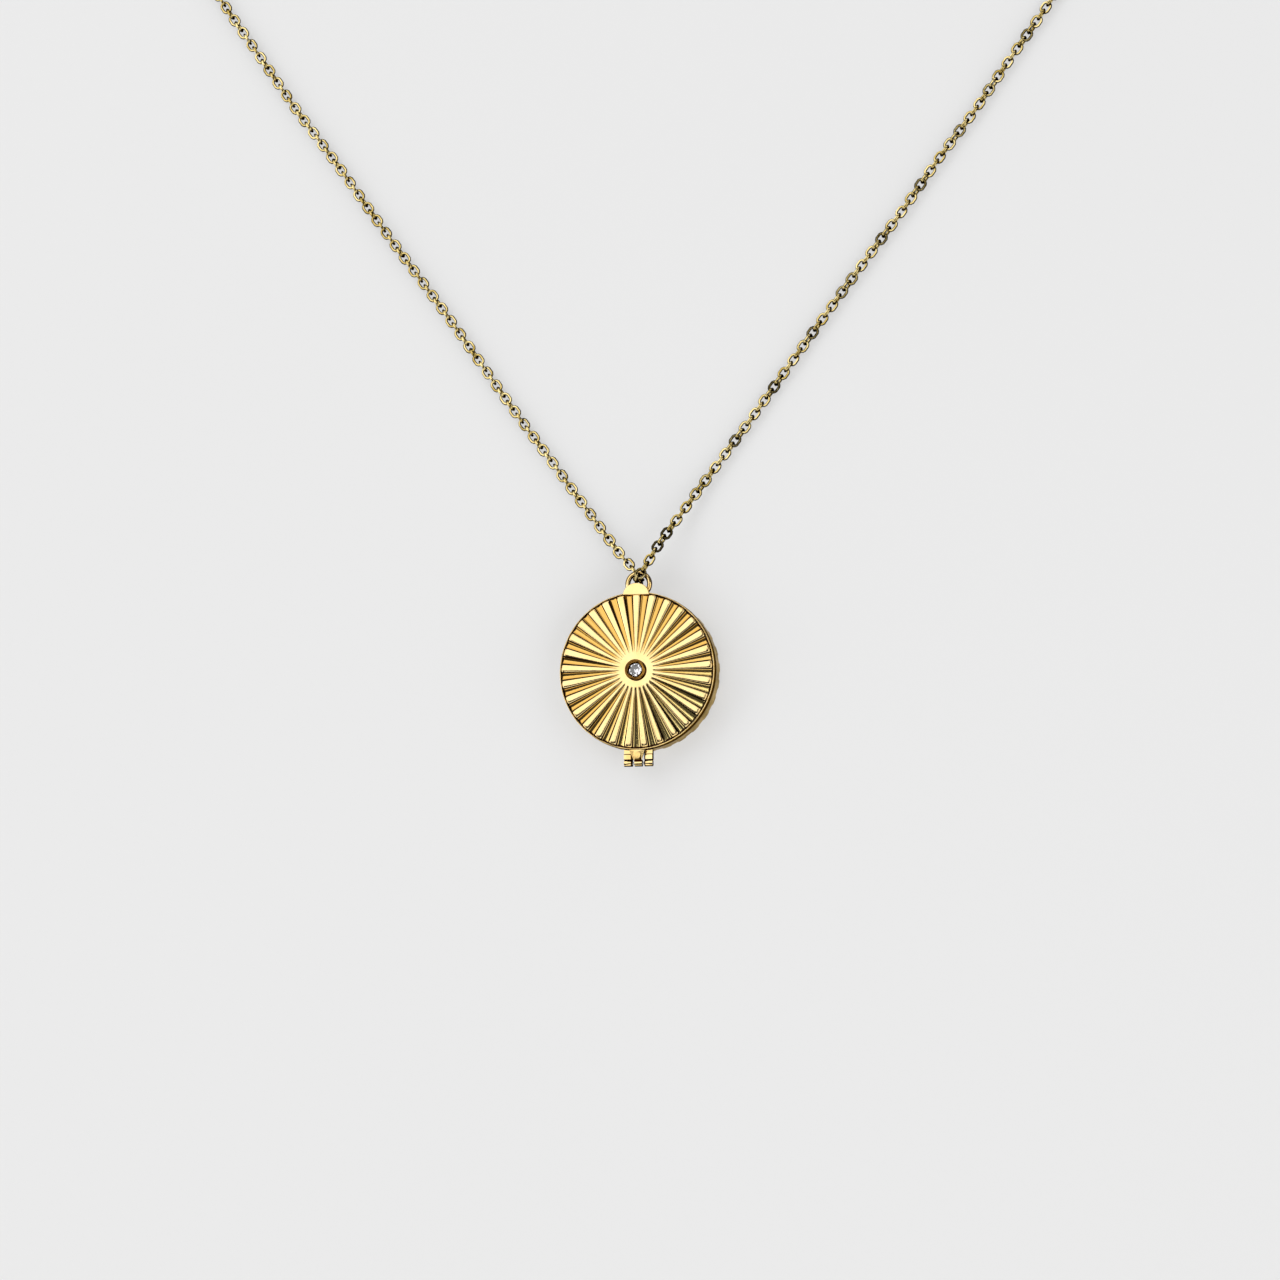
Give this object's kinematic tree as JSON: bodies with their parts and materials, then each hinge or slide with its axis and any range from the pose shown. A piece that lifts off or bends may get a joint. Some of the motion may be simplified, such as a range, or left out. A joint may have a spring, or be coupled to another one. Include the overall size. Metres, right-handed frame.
{
  "type": "locket pendant necklace",
  "caption": "Round fluted gold locket with a small clear stone, a bottom hinge and a wire bail, hung on a fine cable chain with a lobster clasp.",
  "frame": {"origin": "centre of the flat face that the locket's back rests on", "axes": "+Z out of the locket's front, +Y from the hinge through the bail towards the clasp, +X to the right seen from the front"},
  "size_m": [0.1267, 0.1563, 0.0055],
  "materials": {
    "polished_gold": "polished gold plate",
    "chain_gold": "burnished gold plate, slightly darkened",
    "clasp_gold": "tumbled gold plate",
    "spring_steel": "drawn",
    "clear_stone": "brilliant cut",
    "clear_acetate": "clear sheet",
    "card": "blank uncoated card"
  },
  "bodies": {
    "case": {"back_case": "polished_gold", "case_photo_card": "card", "case_photo_window": "clear_acetate", "case_photo_frame": "polished_gold", "hinge_leaf_left": "polished_gold", "hinge_leaf_right": "polished_gold", "hinge_pin": "spring_steel", "bail_loop": "polished_gold", "chain_link_apex": "chain_gold", "chain_link_left_1": "chain_gold", "chain_link_left_2": "chain_gold", "chain_link_right_1": "chain_gold", "chain_link_right_2": "chain_gold", "chain_left": "chain_gold", "chain_right": "chain_gold", "clasp_body": "clasp_gold", "clasp_pin": "spring_steel", "clasp_spring": "spring_steel", "clasp_jump_ring": "chain_gold", "clasp_end_ring": "chain_gold"},
    "cover": {"front_cover": "polished_gold", "cover_photo_card": "card", "cover_photo_window": "clear_acetate", "cover_photo_frame": "polished_gold", "thumb_tab": "polished_gold", "stone_bezel": "polished_gold", "centre_stone": "clear_stone", "cover_knuckle": "polished_gold"},
    "lever": {"clasp_lever": "clasp_gold"}
  },
  "joints": [
    {"name": "cover_hinge", "type": "hinge", "parent": "case", "child": "cover", "pos_m": [0, -0.01168, 0.0032], "axis": [1, 0, 0], "range_deg": [0, 160]},
    {"name": "clasp_lever_pivot", "type": "hinge", "parent": "case", "child": "lever", "pos_m": [-0.0022, 0.1426, 0.0014], "axis": [0, 0, -1], "range_deg": [0, 22], "stiffness_Nm_per_rad": 0.005, "springref_deg": -11.46}
  ]
}
